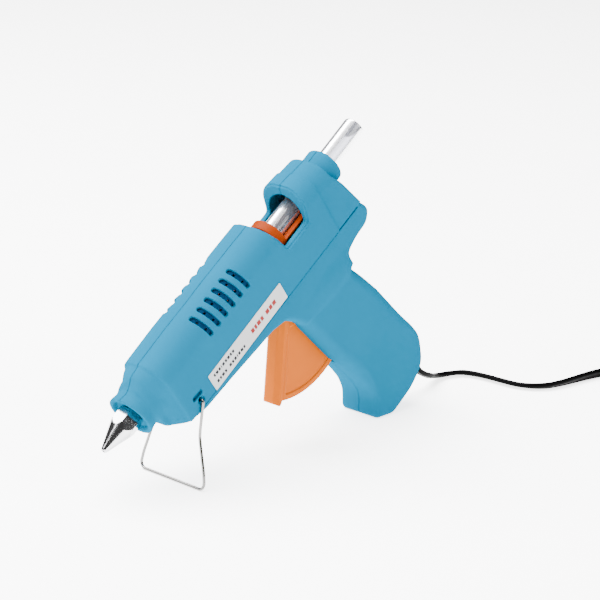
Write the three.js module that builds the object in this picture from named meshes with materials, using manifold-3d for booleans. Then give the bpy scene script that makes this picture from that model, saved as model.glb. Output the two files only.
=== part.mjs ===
// Hot-melt glue gun standing on its wire stand, as an assembly of separate pieces.
// The gun is drawn in its own frame: x runs back along the barrel from the muzzle, z is up
// across the barrel and -y is the left side. The whole gun is then tipped nose-down by
// STAND_TILT, so that the stand's foot and the handle's toe rest on the same level surface.

import * as THREE from 'three';
import { mergeVertices } from 'three/addons/utils/BufferGeometryUtils.js';
import Module from 'manifold-3d';

const wasm = await Module();
wasm.setup();

// ---- driving dimensions, millimetres and degrees ----
const STAND_TILT = 37.6;
const GAP = 0.3; // between pieces that touch
const WALL = 2.2; // housing wall
const HALF_WIDTH = 14.6; // housing, barrel
const GRIP_HALF = 13.4; // housing, handle
const GRIP_EDGE = 5.5; // radius of the handle's edges
const SHOULDER = 11.5; // radius of the barrel's upper edges
const CREASE_Z = -22; // lower edge of the barrel's flat sides
const STICK_R = 5.6;
const STICK_END = 197.3;
const MUZZLE_R = 12.1;
const MUZZLE_BORE = 9.3;
const COLLAR_R = 10.05;
const COLLAR_BORE = 6.7;
const CHAMBER_R = 8.5;
const CHAMBER_END = 68;
const CARRIAGE_R = 10;
const CARRIAGE_BACK = 121.2;
const PIVOT = [107, -41]; // trigger pivot, x and z
const WEB_R = 48; // the trigger's curved web, about its pivot
const WEB_HALF = 3.6;
const BAR_HALF = 5.6;
const TRIGGER_TURN = 28;
const DRIVE_Z = -12.5; // height of the pin that the trigger pushes
const STAND_PIVOT = [31, -17];
const STAND_WIRE = 0.75; // radius
const STAND_FOOT = [1.1, -48.96];
const STAND_HALF = 21.4;
const UP = [Math.sin(STAND_TILT * Math.PI / 180), Math.cos(STAND_TILT * Math.PI / 180)];
const FLOOR = STAND_FOOT[0] * UP[0] + STAND_FOOT[1] * UP[1] - STAND_WIRE; // along UP
const restZ = (x) => (FLOOR - x * UP[0]) / UP[1]; // height at which x meets the surface
const LABEL = { x0: 40.6, x1: 102.2, z0: -21.4, z1: -10.8, thick: 0.35 };
const VENTS = 6;
const VENT_PITCH = 6.2;
const VENT_FIRST = 54.3;
const LEAD = { width: 5.6, thick: 2.8 };
// standing frame: x forward of the origin, y, and height over the surface
const COIL = { x: 243, y: -87.5, mean: 28, half: 8.4, height: 11.2 };
const LEAD_ROUTE = [
  [114.3, 0, 23.9], [116.6, 0, 22.3], [119.2, 0.2, 18.9], [121.3, 0.5, 15.2], [124.6, 0.4, 12.2],
  [128.9, 0.5, 9.8], [133.5, 1.4, 7.8], [139.5, 3.6, 5.4], [146.5, 5.6, 3.4], [153, 6, 2.4],
  [159.5, 4.3, 2.3], [165.4, 0.6, 2.3], [168.6, -6.5, 2.3], [170, -15, 2.3], [170.6, -24, 2.3],
  [171.8, -32.5, 2.3], [175.8, -39.5, 2.3], [182.5, -44.8, 2.3], [191.5, -47.8, 2.3],
  [201.5, -49.5, 2.3], [212, -51, 2.3], [219.5, -52.4, 2.3], [225.6, -53.6, 2.3],
];

// ---- solids ----
const V3 = (x, y, z) => new THREE.Vector3(x, y, z);
const rad = THREE.MathUtils.degToRad;

function solid(geometry) {
  const bare = geometry.index ? geometry.toNonIndexed() : geometry.clone();
  bare.deleteAttribute('normal');
  bare.deleteAttribute('uv');
  const merged = mergeVertices(bare, 1e-4);
  return new wasm.Manifold(new wasm.Mesh({
    numProp: 3,
    vertProperties: new Float32Array(merged.attributes.position.array),
    triVerts: new Uint32Array(merged.index.array),
  }));
}

function toGeometry(manifold) {
  const data = manifold.getMesh();
  const geometry = new THREE.BufferGeometry();
  geometry.setAttribute('position', new THREE.BufferAttribute(data.vertProperties, 3));
  geometry.setIndex(new THREE.BufferAttribute(data.triVerts, 1));
  return geometry;
}

const union = (first, ...rest) => rest.reduce((a, b) => a.add(b), first);
const cut = (first, ...rest) => rest.reduce((a, b) => a.subtract(b), first);

function box(x0, x1, y0, y1, z0, z1) {
  const geometry = new THREE.BoxGeometry(x1 - x0, y1 - y0, z1 - z0);
  return solid(geometry.translate((x0 + x1) / 2, (y0 + y1) / 2, (z0 + z1) / 2));
}

// An outline in x and z, extruded across from y0 to y1.
function prism(points, y0, y1) {
  const shape = new THREE.Shape(points.map(([x, z]) => new THREE.Vector2(x, z)));
  const geometry = new THREE.ExtrudeGeometry(shape, { depth: y1 - y0, bevelEnabled: false });
  return solid(geometry.rotateX(Math.PI / 2).translate(0, y1, 0));
}

// The same from -half to half, with its side edges rounded by radius.
function pillow(points, half, radius, segments = 2) {
  const layers = [];
  for (let k = -segments; k <= segments; k += 1) {
    const a = (Math.abs(k) / segments) * (Math.PI / 2);
    const ring = inset(points, radius * (1 - Math.cos(a)));
    const y = half - radius + radius * Math.sin(a);
    if (k === 0) layers.push([ring, radius - half]);
    layers.push([ring, k < 0 ? -y : y]);
  }
  const n = points.length;
  const position = layers.flatMap(([ring, y]) => ring.flatMap(([x, z]) => [x, y, z]));
  const index = [];
  for (let k = 0; k + 1 < layers.length; k += 1) {
    for (let i = 0; i < n; i += 1) {
      const [a, b] = [k * n + i, k * n + ((i + 1) % n)];
      index.push(a, b + n, b, a, a + n, b + n);
    }
  }
  const flat = points.map(([x, z]) => new THREE.Vector2(x, z));
  const top = (layers.length - 1) * n;
  for (const [a, b, c] of THREE.ShapeUtils.triangulateShape(flat, [])) {
    index.push(a, b, c, top + a, top + c, top + b);
  }
  return new wasm.Manifold(new wasm.Mesh({
    numProp: 3, vertProperties: new Float32Array(position), triVerts: new Uint32Array(index),
  }));
}

// A profile of [radius, x] pairs turned about the barrel's axis, or a parallel one.
function turned(profile, segments = 24, y = 0, z = 0) {
  const points = profile.map(([r, x]) => new THREE.Vector2(r, x));
  const geometry = new THREE.LatheGeometry(points, segments);
  return solid(geometry.rotateZ(-Math.PI / 2).translate(0, y, z));
}

const rod = (r, x0, x1, segments = 24) => turned([[0, x0], [r, x0], [r, x1], [0, x1]], segments);
const tube = (r, bore, x0, x1, segments = 24) => turned(
  [[bore, x0], [r, x0], [r, x1], [bore, x1], [bore, x0]], segments);

// A round bar across the gun at x, z from y0 to y1.
function crossbar(r, x, z, y0, y1, segments = 16) {
  const geometry = new THREE.CylinderGeometry(r, r, y1 - y0, segments);
  return solid(geometry.translate(x, (y0 + y1) / 2, z));
}

// A closed outline with each corner given as [x, z, radius] rounded off.
function rounded(corners, steps = 2) {
  const out = [];
  corners.forEach(([x, z, r = 0], i) => {
    if (!r) {
      out.push([x, z]);
      return;
    }
    const here = new THREE.Vector2(x, z);
    const before = new THREE.Vector2(...corners.at(i - 1).slice(0, 2)).sub(here);
    const after = new THREE.Vector2(...corners[(i + 1) % corners.length].slice(0, 2)).sub(here);
    const reach = Math.min(r, before.length() * 0.4, after.length() * 0.4);
    const curve = new THREE.QuadraticBezierCurve(
      here.clone().add(before.setLength(reach)), here, here.clone().add(after.setLength(reach)));
    curve.getPoints(steps).forEach((p) => out.push([p.x, p.y]));
  });
  return out;
}

// Moves every side of a counter-clockwise outline inwards by t.
function inset(points, t) {
  if (!t) return points;
  return points.map((p, i) => {
    const a = new THREE.Vector2(...points.at(i - 1));
    const b = new THREE.Vector2(...p);
    const c = new THREE.Vector2(...points[(i + 1) % points.length]);
    const u = b.clone().sub(a).normalize();
    const v = c.clone().sub(b).normalize();
    const miter = new THREE.Vector2(-u.y - v.y, u.x + v.x);
    const scale = t / Math.max(0.4, 1 + u.dot(v));
    return [b.x + miter.x * scale, b.y + miter.y * scale];
  });
}

// A bar of round section along a smooth curve through the points.
function wire(points, r, sides = 8, steps = 40, tension = 0.5) {
  const path = new THREE.CatmullRomCurve3(points, false, 'catmullrom', tension);
  return sweep(path, steps, Array.from({ length: sides }, (_, i) => {
    const a = (i / sides) * 2 * Math.PI;
    return new THREE.Vector2(r * Math.cos(a), r * Math.sin(a));
  }));
}

function sweep(path, steps, section) {
  return solid(new THREE.ExtrudeGeometry(new THREE.Shape(section), { steps, extrudePath: path }));
}

// ---- materials ----
const paint = (color, roughness, metalness = 0, extra = {}) => new THREE.MeshStandardMaterial(
  { color, roughness, metalness, ...extra });
const shellPlastic = paint('#00b2d6', 0.45);
const triggerPlastic = paint('#ff9b5a', 0.4);
const carriagePlastic = paint('#ff6e1e', 0.4);
const labelPaper = paint('#e8e8e8', 0.5);
const nickel = paint('#d8dade', 0.15, 1);
const castAluminium = paint('#b9bcc0', 0.4, 1);
const steel = paint('#9a9ea3', 0.3, 1);
const silicone = paint('#a83a2c', 0.6);
const ceramic = paint('#e9e4d8', 0.7);
const brass = paint('#c79b4a', 0.35, 1);
const clearGlue = paint('#dae2ec', 0.25, 0, { transparent: true, opacity: 0.75 });
const blackPvc = paint('#141416', 0.45);
const liveWire = paint('#6b4a30', 0.5);
const neutralWire = paint('#2d5fa8', 0.5);

// ---- the housing's outer form ----
const barrelOutline = rounded([
  [10, -12, 1.5], [22.2, -24.1, 3], [32.3, -26.8, 2], [53, -27.8], [70, -29.2], [86, -30.6, 3],
  [101, -42, 0], [140, -48], [148.3, -40.6, 4], [156.5, -38, 3], [166.5, -37.4, 3],
  [172.4, -34.5, 4], [172.2, -28, 4], [167.6, -14, 4], [160.6, 13.2, 4], [139.1, 15.5],
  [112, 16.4, 3], [96.4, 17], [41.8, 17.5], [20.3, 16.9, 2], [13.6, 16.1, 2], [10, 12.6, 1],
]);
const gripOutline = rounded([
  [99, -33], [101, -42], [105.6, -62], [110.8, -83.9], [114.7, -94.7], [117.3, -105.4],
  [119.7, -117], [119.4, -125, 3], [112.6, restZ(112.6), 6], [124, restZ(124), 5], [147, -145, 7],
  [158.5, -139, 7], [163.6, -125, 6], [163.4, -117, 4], [159.4, -96], [155, -77], [150, -60],
  [147.5, -50], [146, -33],
]);

function barrelSection(t) {
  const half = HALF_WIDTH - t;
  const low = GRIP_HALF - 0.6 - t;
  const section = rounded([
    [-half, 30 - 12.2 - t, SHOULDER], [-half, CREASE_Z - 0.5, 0], [-low, CREASE_Z - 1.8, 0],
    [-low + 1.2, -49 + t, 2], [low - 1.2, -49 + t, 2], [low, CREASE_Z - 1.8, 0],
    [half, CREASE_Z - 0.5, 0], [half, 30 - 12.2 - t, SHOULDER],
  ], 5);
  const shape = new THREE.Shape(section.map(([y, z]) => new THREE.Vector2(y, z)));
  const geometry = new THREE.ExtrudeGeometry(shape, { depth: 175, bevelEnabled: false });
  // the shape's own x and y become the gun's y and z
  return solid(geometry.rotateX(Math.PI / 2).rotateZ(Math.PI / 2));
}

// Seen from above, the barrel's nose narrows in a quarter circle to the muzzle ring.
function planForm(t) {
  const half = HALF_WIDTH - t;
  const plan = rounded([
    [9 + t, -10 + t, 0], [12.5 + t, -10 + t, 0], [19 + t, -half, 6], [176, -half], [176, half],
    [19 + t, half, 6], [12.5 + t, 10 - t, 0], [9 + t, 10 - t, 0],
  ], 3);
  const shape = new THREE.Shape(plan.map(([x, y]) => new THREE.Vector2(x, y)));
  const geometry = new THREE.ExtrudeGeometry(shape, { depth: 90, bevelEnabled: false });
  return solid(geometry.translate(0, 0, -60));
}

function bodyForm(t) {
  const barrel = prism(inset(barrelOutline, t), -20, 20);
  const grip = pillow(inset(gripOutline, t), GRIP_HALF - t, GRIP_EDGE - t);
  return barrel.intersect(barrelSection(t)).intersect(planForm(t)).add(grip);
}

// ---- features cut from the housing or added inside it ----
function ventCuts(side) {
  // drawn on top of the shoulder's centre line, then turned down the shoulder
  const place = (geometry, x, angle) => solid(geometry.rotateX(side * rad(-angle))
    .translate(x, side * (HALF_WIDTH - SHOULDER), 17.8 - SHOULDER));
  const cuts = [];
  for (let i = 0; i < VENTS; i += 1) {
    const x = VENT_FIRST + i * VENT_PITCH;
    cuts.push(place(new THREE.BoxGeometry(2.9, 9, 3).translate(0, 0, SHOULDER + 0.6), x, 50));
    for (const angle of [36, 64]) {
      const hole = new THREE.CylinderGeometry(0.8, 0.8, 6, 6).rotateX(Math.PI / 2);
      cuts.push(place(hole.translate(0, 0, SHOULDER - 1.5), x, angle));
    }
  }
  return cuts;
}

function windowCut() {
  return prism([[116.5, 0], [133, 0], [139.3, 20], [111.8, 20]], -20, 20);
}

function triggerSlot() {
  const [px, pz] = PIVOT;
  const sector = [];
  for (let a = -150; a <= 0; a += 15) {
    sector.push([px + 51 * Math.cos(rad(a)), pz + 51 * Math.sin(rad(a))]);
  }
  const web = prism([[px, pz], ...sector], -WEB_HALF - 0.8, WEB_HALF + 0.8);
  const bar = prism([[px - 3, -50], [px - 25, -50], [px - 25, -24.6], [px - 3, -24.6]],
    -BAR_HALF - 0.8, BAR_HALF + 0.8);
  return [web.intersect(prism([[85, -30], [85, -95], [125, -95], [125, -52], [104, -30]], -8, 8)), bar];
}

const screwSpots = [[42, -19.6], [86, -21.5], [152.5, -28], [146, -98], [131, -133]];

// Posts across the housing; they end inside its side walls.
const postHalf = (z) => (z < -40 ? GRIP_HALF : HALF_WIDTH) - 1.5;

function bosses() {
  const [px, pz] = PIVOT;
  const [sx, sz] = STAND_PIVOT;
  const posts = screwSpots.map(([x, z]) => crossbar(3.2, x, z, -postHalf(z), postHalf(z), 8));
  for (const side of [-1, 1]) {
    const across = (near, far) => [side * near, side * far].sort((a, b) => a - b);
    posts.push(crossbar(4.6, px, pz, ...across(WEB_HALF + 1.2, postHalf(pz)), 10));
    posts.push(crossbar(3.2, sx, sz, ...across(9.5, postHalf(sz)), 10));
  }
  return union(...posts);
}

function plates() {
  return union(box(20.5, 22.5, -14, 14, -23, 17), box(58, 60, -14, 14, -15, 17),
    box(84, 152, -14, -10.5, -3.4, -0.5), box(84, 152, 10.5, 14, -3.4, -0.5),
    box(153, 155.5, -13, 13, -24, 14)).intersect(bodyForm(0.6));
}

function housing() {
  const outer = union(bodyForm(0), tube(MUZZLE_R, MUZZLE_BORE, 0, 13), rod(COLLAR_R, 155, 170.4));
  const cavity = bodyForm(WALL);
  let body = union(outer.subtract(cavity), plates(), bosses());
  body = cut(body, rod(MUZZLE_BORE, -1, 14.5), rod(CHAMBER_R + GAP + 0.1, 14, 72),
    rod(COLLAR_BORE, 150, 172), windowCut(), ...triggerSlot());
  body = cut(body, crossbar(2 + GAP, ...PIVOT, -9.6, 9.6, 10), crossbar(1.2, ...STAND_PIVOT, -20, 20, 8),
    box(57, 61, -5, 5, -15.5, -8.5));
  body = cut(body, box(LABEL.x0 - GAP, LABEL.x1 + GAP, -16, -HALF_WIDTH + 0.15 + LABEL.thick,
    LABEL.z0 - GAP, LABEL.z1 + GAP));
  return body;
}

// ---- screws: head in the right shell, point in the left shell's boss ----
function screw(x, z, headY, length, shank = 1.4, head = 2.6) {
  return crossbar(shank, x, z, headY - length, headY - 1.2, 10).add(
    crossbar(head, x, z, headY - 1.8, headY, 12));
}

const screwHeads = screwSpots.map(([, z]) => (z < -40 ? 10.6 : 11.4));

function screwCuts() {
  return screwSpots.flatMap(([x, z], i) => [
    crossbar(1.4 + GAP, x, z, -10.2, screwHeads[i], 8),
    crossbar(2.6 + GAP, x, z, screwHeads[i] - 1.8 - GAP, 20, 10),
  ]);
}

// ---- cord exit at the lower rear corner of the handle ----
const EXIT = { x: 157.4, z: -136.8, turn: -62.6 };
const CLAMP_AT = -18; // along the exit's axis, inside the handle
const CLAMP_SCREW = 5.8; // to either side of the lead

// Turns and moves a piece drawn along +x from the origin onto the exit's axis.
function alongExit(manifold) {
  const geometry = toGeometry(manifold);
  return solid(geometry.rotateY(-rad(EXIT.turn)).translate(EXIT.x, 0, EXIT.z));
}

function exitSpot(along, across) {
  const [c, s] = [Math.cos(rad(EXIT.turn)), Math.sin(rad(EXIT.turn))];
  return [EXIT.x + along * c - across * s, EXIT.z + along * s + across * c];
}

// The lead's flat section, with play all round, from x0 to x1 along the exit's axis.
const leadBar = (x0, x1, play = 0) => box(x0, x1, -LEAD.thick / 2 - play, LEAD.thick / 2 + play,
  -LEAD.width / 2 - play, LEAD.width / 2 + play);

const grommet = () => alongExit(box(-9.4, -7.6, -3.4, 3.4, -4.8, 4.8)
  .add(box(-10, 5, -2.4, 2.4, -3.8, 3.8)).subtract(leadBar(-12, 7, GAP)));

const grommetCuts = () => [
  alongExit(box(-9.4 - GAP, -7.6 + GAP, -3.7, 3.7, -5.1, 5.1)),
  alongExit(box(-14, 12, -2.7, 2.7, -4.1, 4.1)),
];

const clampSpots = [exitSpot(CLAMP_AT, CLAMP_SCREW), exitSpot(CLAMP_AT, -CLAMP_SCREW)];

function cordClamp() {
  const bar = box(CLAMP_AT - 3, CLAMP_AT + 3, LEAD.thick / 2 + GAP, 4.2, -8.4, 8.4);
  const feet = [-1, 1].map((side) => box(CLAMP_AT - 3, CLAMP_AT + 3, GAP, LEAD.thick / 2 + 1,
    Math.min(side * 3.5, side * 8.4), Math.max(side * 3.5, side * 8.4)));
  const plate = alongExit(union(bar, ...feet));
  return cut(plate, ...clampSpots.map(([x, z]) => crossbar(1.2 + GAP, x, z, -1, 6, 10)));
}

// ---- the housing halves ----
function buildHalves() {
  const block = alongExit(box(-13, 1, -13, 13, -6.4, 6.4)).intersect(bodyForm(0.6));
  const posts = union(...clampSpots.map(([x, z]) => crossbar(2.7, x, z, -postHalf(z), 0, 8)));
  const pilots = clampSpots.map(([x, z]) => crossbar(1.2 + GAP, x, z, -9.5, 1, 8));
  const whole = cut(housing().add(block).add(posts), ...screwCuts(), ...grommetCuts(), ...pilots);
  const left = whole.intersect(box(-5, 180, -20, -GAP / 2, -150, 30));
  const right = whole.intersect(box(-5, 180, GAP / 2, 20, -150, 30));
  return [cut(left, ...ventCuts(-1)), cut(right, ...ventCuts(1))];
}

// ---- heating ----
function nozzle() {
  const cone = turned([[0, -19.6], [1.5, -19.6], [6.8, -4], [6.8, 3], [0, 3]], 24);
  const hexagon = solid(new THREE.CylinderGeometry(6.6, 6.6, 24, 6).rotateZ(-Math.PI / 2)
    .rotateX(Math.PI / 6).translate(-9, 0, 0));
  const bore = turned([[0, -21], [0.8, -21], [0.8, -15], [3, -6], [3, 15], [0, 15]], 16);
  return cone.intersect(hexagon).add(rod(4.4, 2.5, 13, 16)).subtract(bore);
}

function meltingChamber() {
  const barrel = turned([[4.7, 6], [CHAMBER_R, 6], [CHAMBER_R, CHAMBER_END], [6, CHAMBER_END],
    [6, 16], [4.7, 14.6], [4.7, 6]]);
  const block = box(26, 54, -6, 6, -14, -6.3).subtract(rod(7, 20, 60));
  return barrel.add(block).subtract(box(28, 56, -4.6, 4.6, -12.6, -9.4));
}

const inletSleeve = () => turned([[8.8, 61], [10, 61], [10, 70], [7.8, 72], [7.8, 84], [6.1, 84],
  [6.1, 69], [8.8, 68.3], [8.8, 61]]);

const sleeveClamp = () => tube(11, 10.3, 62.5, 67.5).add(box(63, 67, -1.6, 1.6, 10.6, 13.4));

// ---- glue feed ----
const ARM = Math.abs(DRIVE_Z - PIVOT[1]);
const PIN_X = PIVOT[0] + ARM * Math.tan(rad(TRIGGER_TURN / 2));
const STROKE = 2 * (PIN_X - PIVOT[0]);

function feedCarriage() {
  const ring = tube(CARRIAGE_R, 6.1, 103.5, CARRIAGE_BACK);
  const cradle = tube(9.4, 6.5, CARRIAGE_BACK - 1, 148).intersect(box(100, 150, -10, 10, -10, -1.5));
  const lugs = [-1, 1].map((side) => box(PIN_X - 4.5, PIN_X + 4.5, side > 0 ? 3.4 : -6.4,
    side > 0 ? 6.4 : -3.4, DRIVE_Z - 3, -8));
  return cut(union(ring, cradle, ...lugs), rod(6.1, 100, 150), crossbar(1.5 + GAP, PIN_X, DRIVE_Z, -8, 8, 12),
    box(105.7, 118.3, -2.8, 2.8, -8, -4));
}

function gripPlate() {
  const teeth = [[106, -7.7], [118, -7.7], [118, -6.9]];
  for (let x = 117; x > 106; x -= 2) teeth.push([x, -5.95], [x - 1, -6.9]);
  return prism([...teeth, [106, -6.9]], -2.5, 2.5);
}

function trigger() {
  const [px, pz] = PIVOT;
  const lean = rad(TRIGGER_TURN / 2);
  const arm = (along, across) => [px + along * Math.sin(lean) + across * Math.cos(lean),
    pz + along * Math.cos(lean) - across * Math.sin(lean)];
  const fork = prism([arm(0, 4), arm(30.2, 4), arm(30.2, -4), arm(0, -4)], -3, 3);
  const slot = prism([arm(25.5, 1.8), arm(33, 1.8), arm(33, -1.8), arm(25.5, -1.8)], -4, 4);
  const web = [[px, pz], [98, -38.5]];
  for (let a = -137; a <= -65; a += 4) web.push([px + WEB_R * Math.cos(rad(a)), pz + WEB_R * Math.sin(rad(a))]);
  const bar = pillow(rounded([[101.5, -37], [101.5, -43], [98.5, -46], [75, -74, 2], [71, -75.8, 1.5],
    [69.4, -72.6, 1.5], [98, -38.2, 2]].reverse()), BAR_HALF, 1.6, 2);
  const hub = crossbar(5.4, px, pz, -WEB_HALF, WEB_HALF, 20);
  return cut(union(hub, prism(web, -WEB_HALF, WEB_HALF), bar, fork), slot,
    crossbar(2 + GAP, px, pz, -8, 8, 16));
}

// A closed helix between the trigger's arm and the boss behind it.
function returnSpring() {
  const from = 115.4;
  const to = 148.6;
  const turns = 8;
  const points = [];
  for (let i = 0; i <= turns * 6; i += 1) {
    const a = (i / 6) * 2 * Math.PI;
    points.push(V3(from + ((to - from) * i) / (turns * 6), 2.3 * Math.cos(a), -27.8 + 2.3 * Math.sin(a)));
  }
  return wire(points, 0.45, 5, turns * 6);
}

// ---- wire stand ----
function wireStand() {
  const [px, pz] = STAND_PIVOT;
  const [fx, fz] = STAND_FOOT;
  const leg = (t, y) => V3(px + (fx - px) * t, y, pz + (fz - pz) * t);
  const half = [V3(px, 10.2, pz), V3(px, 12.6, pz), V3(px, 14.6, pz), leg(0.012, 15.3), leg(0.05, 15.5),
    leg(0.17, 15.55), leg(0.25, 15.5), leg(0.34, 15.5), leg(0.44, 15.9), leg(0.62, 18.1), leg(0.8, 20.4),
    leg(0.92, STAND_HALF), leg(0.98, STAND_HALF - 0.9), leg(1, STAND_HALF - 3.4), leg(1, 10)];
  const mirrored = half.map((p) => V3(p.x, -p.y, p.z)).reverse();
  return wire([...half, leg(1, 0), ...mirrored], STAND_WIRE, 6, 60, 0.3);
}

// ---- mains lead ----
function innerWire(side) {
  const [x, z] = exitSpot(-27.5, 0);
  return wire([V3(x, side * 1.5, z), V3(142, side * 4, -107), V3(138, side * 8, -98), V3(134, side * 9, -80),
    V3(127, side * 9, -58), V3(120, side * 9, -35), V3(110, side * 8.9, -19), V3(92, side * 8.4, -15.8),
    V3(76, side * 5, -14.6), V3(64, side * 2.8, -13.4), V3(57.6, side * 2.8, side > 0 ? -9.9 : -12.1)],
  0.8, 5, 30);
}

function mainsLead() {
  return wire(LEAD_ROUTE.map((p) => V3(...p)), 2, 8, 50);
}

function leadCoil() {
  const { mean, half, height } = COIL;
  const profile = rounded([[mean - half, 0, 2], [mean + half, 0, 2], [mean + half, height, 2],
    [mean - half, height, 2]], 1).map(([r, y]) => new THREE.Vector2(r, y));
  const ring = new THREE.LatheGeometry([...profile, profile[0]], 24);
  return solid(ring.rotateX(Math.PI / 2).translate(COIL.x, COIL.y, 0));
}

// A strap over the coil's turns; the ring curves away under it by less than a millimetre.
function leadTie() {
  const { mean, half, height } = COIL;
  const inner = mean - half - 1;
  const outer = mean + half + GAP;
  return box(inner - 1, outer + 1, -4, 4, 0.1, height + 1.2)
    .subtract(box(inner, outer, -5, 5, -1, height + GAP)).rotate([0, 0, -45])
    .translate([COIL.x, COIL.y, 0]);
}

// A flat two-pin plug, lying on the coil with its pins along -y.
const PLUG = { length: 36, wide: 35, thick: 13.6, pin: 2, pinLength: 19, apart: 9.4 };

function plugBody() {
  const outline = rounded([[-8, 0, 3], [8, 0, 3], [PLUG.wide / 2, 14, 8], [PLUG.wide / 2, PLUG.length, 4],
    [-PLUG.wide / 2, PLUG.length, 4], [-PLUG.wide / 2, 14, 8]]);
  const body = pillow(outline, PLUG.thick / 2, 3, 2);
  const sockets = [-1, 1].map((side) => solid(new THREE.CylinderGeometry(PLUG.pin + GAP,
    PLUG.pin + GAP, 8, 10).rotateX(Math.PI / 2).translate(side * PLUG.apart, 0, PLUG.length)));
  return cut(body, ...sockets);
}

const plugPin = (side) => solid(new THREE.CylinderGeometry(PLUG.pin, PLUG.pin, PLUG.pinLength + 3.5, 10)
  .rotateX(Math.PI / 2).translate(side * PLUG.apart, 0, PLUG.length + (PLUG.pinLength - 3.5) / 2));

// ---- assembly ----
function piece(name, manifold, material) {
  const mesh = new THREE.Mesh(toGeometry(manifold), material);
  mesh.name = name;
  return mesh;
}

const [leftShell, rightShell] = buildHalves();
const gun = new THREE.Group();
gun.add(
  piece('left_shell', leftShell, shellPlastic),
  piece('right_shell', rightShell, shellPlastic),
  piece('rating_label', box(LABEL.x0, LABEL.x1, -HALF_WIDTH - 0.15, -HALF_WIDTH - 0.15 + LABEL.thick,
    LABEL.z0, LABEL.z1), labelPaper),
  piece('nozzle', nozzle(), nickel),
  piece('melting_chamber', meltingChamber(), castAluminium),
  piece('heater_element', box(28.6, 54, -4.2, 4.2, -11.6, -10.4), ceramic),
  piece('electrode_upper', box(28.6, 57, -4.2, 4.2, -10.1, -9.7), brass),
  piece('electrode_lower', box(28.6, 57, -4.2, 4.2, -12.3, -11.9), brass),
  piece('inlet_sleeve', inletSleeve(), silicone),
  piece('sleeve_clamp', sleeveClamp(), steel),
  piece('feed_carriage', feedCarriage(), carriagePlastic),
  piece('grip_plate', gripPlate(), steel),
  piece('carriage_pin', crossbar(1.5, PIN_X, DRIVE_Z, -6.3, 6.3, 12), steel),
  piece('glue_stick', rod(STICK_R, 34, STICK_END, 24), clearGlue),
  piece('trigger', trigger(), triggerPlastic),
  piece('trigger_pin', crossbar(2, ...PIVOT, -9.3, 9.3, 16), steel),
  piece('return_spring', returnSpring(), steel),
  piece('wire_stand', wireStand(), steel),
  piece('cord_grommet', grommet(), blackPvc),
  piece('cord_clamp', cordClamp(), carriagePlastic),
  piece('lead_tail', alongExit(leadBar(-27, 5.4)), blackPvc),
  piece('live_wire', innerWire(-1), liveWire),
  piece('neutral_wire', innerWire(1), neutralWire),
);
screwSpots.forEach(([x, z], i) => {
  gun.add(piece(`housing_screw_${i + 1}`, screw(x, z, screwHeads[i], 18), steel));
});
clampSpots.forEach(([x, z], i) => {
  gun.add(piece(`clamp_screw_${i + 1}`, screw(x, z, 6.3, 14, 1.2, 2.2), steel));
});
gun.rotation.y = -rad(STAND_TILT);

// The origin is under the middle of the standing gun, on the surface.
gun.updateMatrixWorld(true);
const bounds = new THREE.Box3().setFromObject(gun, true);
gun.position.set(-(bounds.min.x + bounds.max.x) / 2, 0, -bounds.min.z);

const plug = new THREE.Group();
plug.add(
  piece('plug_body', plugBody(), blackPvc),
  piece('plug_pin_1', plugPin(-1), nickel),
  piece('plug_pin_2', plugPin(1), nickel),
);
plug.rotation.set(Math.PI / 2, 0, rad(135), 'ZYX');
plug.position.set(COIL.x - 19.8, COIL.y - 8.5, COIL.height + GAP + PLUG.thick / 2);

const model = new THREE.Group();
model.add(
  gun,
  piece('mains_lead', mainsLead(), blackPvc),
  piece('lead_coil', leadCoil(), blackPvc),
  piece('lead_tie', leadTie(), blackPvc),
  plug,
);
export default model;
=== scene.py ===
"""Hot-melt glue gun on its wire stand: the looks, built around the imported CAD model.

Most pieces are drawn in the gun's own frame, in millimetres: x runs back along the barrel from the
muzzle, y is across (the left side is -y) and z is up across the barrel. gun() puts such a point into
the row frame, in metres. The lead, the plug and the floor are drawn in the row frame directly.
"""
import math

import bpy
import numpy as np
import openvdb
from mathutils import Matrix, Vector


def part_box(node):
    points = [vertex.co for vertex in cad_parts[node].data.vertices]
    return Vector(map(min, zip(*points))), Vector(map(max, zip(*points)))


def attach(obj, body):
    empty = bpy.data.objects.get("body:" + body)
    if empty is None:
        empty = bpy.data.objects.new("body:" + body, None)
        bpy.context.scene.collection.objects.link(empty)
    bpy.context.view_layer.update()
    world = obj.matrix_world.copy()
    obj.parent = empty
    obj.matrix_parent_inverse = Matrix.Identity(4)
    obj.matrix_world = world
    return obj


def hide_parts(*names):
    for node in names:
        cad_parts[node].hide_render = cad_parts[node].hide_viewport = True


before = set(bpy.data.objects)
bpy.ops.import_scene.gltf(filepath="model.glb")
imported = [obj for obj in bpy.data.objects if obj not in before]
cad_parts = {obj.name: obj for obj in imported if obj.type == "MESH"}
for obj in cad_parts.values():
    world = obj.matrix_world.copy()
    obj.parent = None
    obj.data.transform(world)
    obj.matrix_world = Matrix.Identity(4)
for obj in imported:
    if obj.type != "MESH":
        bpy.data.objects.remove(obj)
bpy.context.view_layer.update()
MM = 0.001

# ---------------------------------------------------------------- the gun's frame
TILT = math.radians(37.6)
PIVOT = (107.0, -41.0)  # the trigger's pivot, in the gun's frame
pin_low, pin_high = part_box("trigger_pin")
PIN = (pin_low + pin_high) / 2
COS, SIN = math.cos(TILT), math.sin(TILT)
OFFSET_X = PIN.x / MM - (PIVOT[0] * COS - PIVOT[1] * SIN)
OFFSET_Z = PIN.z / MM - (PIVOT[0] * SIN + PIVOT[1] * COS)


def turn_gun(directions):
    """Directions in the gun's frame as directions in the row frame."""
    out = np.empty_like(directions)
    out[:, 0] = directions[:, 0] * COS - directions[:, 2] * SIN
    out[:, 1] = directions[:, 1]
    out[:, 2] = directions[:, 0] * SIN + directions[:, 2] * COS
    return out


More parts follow.
